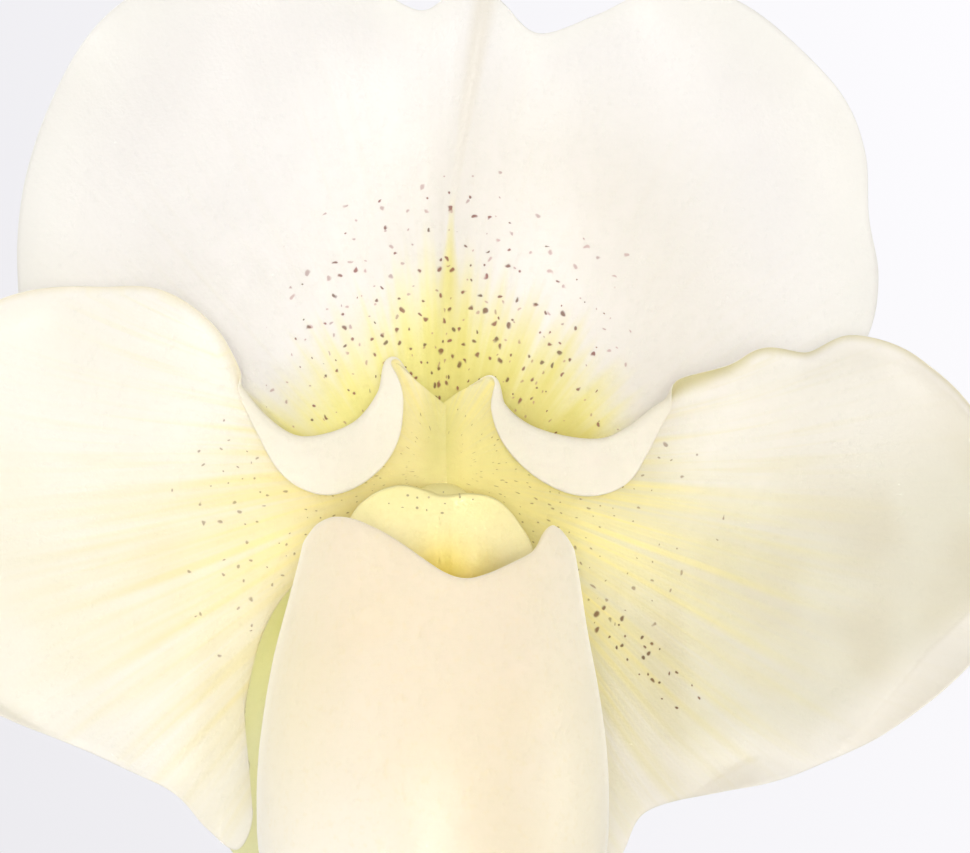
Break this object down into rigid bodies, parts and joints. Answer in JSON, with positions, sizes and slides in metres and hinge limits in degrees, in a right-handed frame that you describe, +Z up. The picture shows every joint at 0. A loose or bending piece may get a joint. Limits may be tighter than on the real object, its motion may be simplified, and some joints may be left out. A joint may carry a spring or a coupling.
{
  "type": "potted slipper orchid",
  "caption": "Slipper orchid in a plain round clay pot: fans of strap leaves and one stalk with a broad pale bloom, its lip a hanging pouch.",
  "frame": {"origin": "centre of the pot's flat underside, where it rests", "axes": "+Z up along the pot's axis and the flower stalk; the bloom faces -Y; +X to its right as seen from the front"},
  "size_m": [0.29, 0.143, 0.3897],
  "materials": {
    "clay": "unglazed fired clay, matt, slightly mottled",
    "bark": "rough chipped bark, matt",
    "stem": "green plant stem with fine down, satin",
    "leaf": "leathery green leaf, semi-gloss above, paler and matt below",
    "bract": "thin green sheath, satin",
    "ovary": "ribbed green ovary with fine down, satin",
    "sepal": "waxy white petal tissue, yellow-green at the base with small dark dots",
    "petal": "waxy cream petal tissue, yellow at the base with fine dots",
    "lip": "smooth waxy pale yellow, soft gloss",
    "column": "smooth waxy yellow"
  },
  "bodies": {
    "root": {"pot": "clay", "potting_bark": "bark", "crown_main": "stem", "crown_side": "stem", "leaf_main_1": "leaf", "leaf_main_2": "leaf", "leaf_main_3": "leaf", "leaf_main_4": "leaf", "leaf_main_5": "leaf", "leaf_main_6": "leaf", "leaf_side_1": "leaf", "leaf_side_2": "leaf", "leaf_side_3": "leaf", "leaf_side_4": "leaf", "flower_stalk": "stem", "bract": "bract", "ovary": "ovary", "dorsal_sepal": "sepal", "synsepal": "sepal", "petal_right": "petal", "petal_left": "petal", "lip": "lip", "column": "column"}
  },
  "joints": []
}
